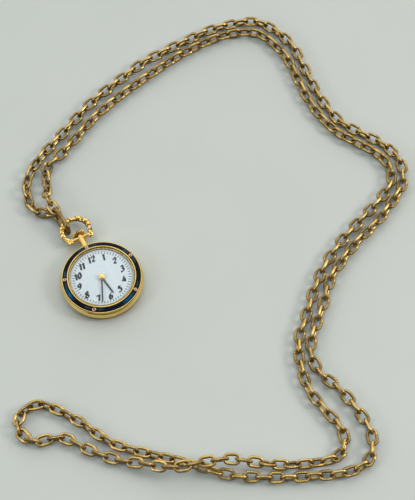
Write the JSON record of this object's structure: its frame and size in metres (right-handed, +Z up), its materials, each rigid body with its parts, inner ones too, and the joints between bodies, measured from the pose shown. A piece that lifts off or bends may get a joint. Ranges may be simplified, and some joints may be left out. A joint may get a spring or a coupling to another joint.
{
  "type": "pendant watch",
  "caption": "Round pendant watch with an enamelled, gem-set bezel and a domed crystal, hung by a bow and bail on a long laid-out link chain.",
  "frame": {"origin": "centre of the case back's flat outer face, on the table", "axes": "+Z up through the dial, +Y towards twelve o'clock, where the neck, the bow and the chain are, and +X towards three o'clock"},
  "size_m": [0.1511, 0.1649, 0.0074],
  "materials": {
    "antique_gold": "polished, darkened in the hollows",
    "bronze": "dark satin",
    "gold": "polished",
    "enamel": "glossy vitreous enamel over engraved metal",
    "ruby": "faceted",
    "crystal": "clear, polished",
    "dial_white": "smooth painted dial",
    "black": "gloss black",
    "steel": "brushed",
    "nickel": "fine grained, rhodium plated",
    "blued_steel": "polished, blued",
    "gear_brass": "brushed",
    "jewel": "polished"
  },
  "bodies": {
    "chain": {"chain_smooth_links": "antique_gold", "chain_ribbed_links": "antique_gold", "bail": "bronze", "bow": "gold"},
    "case": {"case_back": "gold", "case_middle": "gold", "bezel": "gold", "enamel_ring": "enamel", "ruby_settings": "gold", "rubies": "ruby", "crystal": "crystal", "pendant_neck": "gold", "dial": "dial_white", "dial_marks": "black", "movement_ring": "steel", "case_screws": "blued_steel", "mainplate": "nickel", "barrel_bridge": "nickel", "train_bridge": "nickel", "pallet_bridge": "nickel", "balance_cock": "nickel", "bridge_screws": "blued_steel", "jewels": "jewel", "click_spring": "blued_steel", "hairspring": "blued_steel"},
    "winding": {"winding_pinion": "steel"},
    "stem": {"winding_stem": "steel", "crown": "gold"},
    "clutch": {"sliding_pinion": "steel"},
    "crown_gear": {"crown_wheel": "steel"},
    "ratchet": {"ratchet_wheel": "steel", "barrel_arbor": "steel"},
    "pawl": {"click": "steel"},
    "barrel_drum": {"barrel": "gear_brass", "barrel_lid": "gear_brass", "mainspring": "blued_steel"},
    "centre": {"centre_wheel": "gear_brass"},
    "third": {"third_wheel": "gear_brass"},
    "fourth": {"fourth_wheel": "gear_brass"},
    "escape": {"escape_wheel": "steel"},
    "fork": {"pallet_fork": "steel", "pallet_jewels": "jewel"},
    "balance": {"balance_wheel": "gear_brass"},
    "index": {"regulator": "blued_steel"},
    "detent": {"setting_lever": "blued_steel"},
    "yoke_arm": {"yoke": "blued_steel"},
    "setting": {"setting_wheel": "gear_brass"},
    "minute_gear": {"minute_wheel": "gear_brass"},
    "minute": {"cannon_pinion": "steel", "minute_hand": "black", "hand_cap": "gold"},
    "hour": {"hour_wheel": "gear_brass", "hour_hand": "black"}
  },
  "joints": [
    {"name": "head_swing", "type": "hinge", "parent": "chain", "child": "case", "pos_m": [0, 0.0167, 0.00235], "axis": [1, 0, 0], "range_deg": [-80, 0]},
    {"name": "crown_turn", "type": "hinge", "parent": "case", "child": "winding", "pos_m": [0, 0.00615, 0.00235], "axis": [0, 1, 0], "continuous": true},
    {"name": "crown_pull", "type": "slide", "parent": "winding", "child": "stem", "axis": [0, 1, 0], "range_m": [0, 0.0006]},
    {"name": "clutch_slide", "type": "slide", "parent": "winding", "child": "clutch", "axis": [0, 1, 0], "range_m": [-0.0006, 0]},
    {"name": "crown_gear_turn", "type": "hinge", "parent": "case", "child": "crown_gear", "pos_m": [0, 0.00416, 0.0009], "axis": [0, 0, 1], "continuous": true},
    {"name": "ratchet_turn", "type": "hinge", "parent": "case", "child": "ratchet", "pos_m": [0.00455, 0.0008, 0.0009], "axis": [0, 0, 1], "continuous": true},
    {"name": "click_lift", "type": "hinge", "parent": "case", "child": "pawl", "pos_m": [0.00112, -0.0016, 0.0009], "axis": [0, 0, 1], "range_deg": [-10, 0]},
    {"name": "barrel_turn", "type": "hinge", "parent": "case", "child": "barrel_drum", "pos_m": [0.00455, 0.0008, 0.002], "axis": [0, 0, 1], "continuous": true},
    {"name": "centre_turn", "type": "hinge", "parent": "case", "child": "centre", "pos_m": [0, 0, 0.002], "axis": [0, 0, 1], "continuous": true},
    {"name": "third_turn", "type": "hinge", "parent": "case", "child": "third", "pos_m": [-0.00312, 0.0018, 0.002], "axis": [0, 0, 1], "continuous": true},
    {"name": "fourth_turn", "type": "hinge", "parent": "case", "child": "fourth", "pos_m": [-0.00416, -0.00108, 0.002], "axis": [0, 0, 1], "continuous": true},
    {"name": "escape_turn", "type": "hinge", "parent": "case", "child": "escape", "pos_m": [-0.00363, -0.00411, 0.002], "axis": [0, 0, 1], "continuous": true},
    {"name": "fork_rock", "type": "hinge", "parent": "case", "child": "fork", "pos_m": [-0.00182, -0.00495, 0.002], "axis": [0, 0, 1], "range_deg": [-5, 5]},
    {"name": "balance_swing", "type": "hinge", "parent": "case", "child": "balance", "pos_m": [0.00162, -0.0056, 0.002], "axis": [0, 0, 1], "range_deg": [-150, 150]},
    {"name": "regulator_turn", "type": "hinge", "parent": "case", "child": "index", "pos_m": [0.00162, -0.0056, 0.001], "axis": [0, 0, 1], "range_deg": [-15, 15]},
    {"name": "lever_turn", "type": "hinge", "parent": "case", "child": "detent", "pos_m": [0.0019, 0.00755, 0.0034], "axis": [0, 0, 1], "range_deg": [-18.5, 0]},
    {"name": "yoke_turn", "type": "hinge", "parent": "case", "child": "yoke_arm", "pos_m": [-0.0023, 0.00522, 0.0034], "axis": [0, 0, 1], "range_deg": [-15.5, 0]},
    {"name": "setting_turn", "type": "hinge", "parent": "case", "child": "setting", "pos_m": [0.00037, 0.00309, 0.0034], "axis": [0, 0, 1], "continuous": true},
    {"name": "minute_gear_turn", "type": "hinge", "parent": "case", "child": "minute_gear", "pos_m": [-0.00184, 0.00154, 0.0034], "axis": [0, 0, 1], "continuous": true},
    {"name": "minute_turn", "type": "hinge", "parent": "case", "child": "minute", "pos_m": [0, 0, 0.004], "axis": [0, 0, 1], "continuous": true},
    {"name": "hour_turn", "type": "hinge", "parent": "case", "child": "hour", "pos_m": [0, 0, 0.004], "axis": [0, 0, 1], "continuous": true}
  ],
  "couplings": [
    {"joint": "clutch_slide", "follows": "crown_pull", "ratio": -1},
    {"joint": "lever_turn", "follows": "crown_pull", "rad_per_m": -522},
    {"joint": "yoke_turn", "follows": "crown_pull", "rad_per_m": -438},
    {"joint": "crown_gear_turn", "follows": "crown_turn", "ratio": 0.54545},
    {"joint": "ratchet_turn", "follows": "crown_turn", "ratio": -0.33333},
    {"joint": "third_turn", "follows": "fourth_turn", "ratio": -0.13333},
    {"joint": "centre_turn", "follows": "fourth_turn", "ratio": 0.016667},
    {"joint": "barrel_turn", "follows": "fourth_turn", "ratio": -0.0027778},
    {"joint": "escape_turn", "follows": "fourth_turn", "ratio": -10},
    {"joint": "hour_turn", "follows": "minute_turn", "ratio": 0.083333},
    {"joint": "minute_gear_turn", "follows": "minute_turn", "ratio": -0.33333},
    {"joint": "setting_turn", "follows": "minute_turn", "ratio": 0.66667}
  ]
}
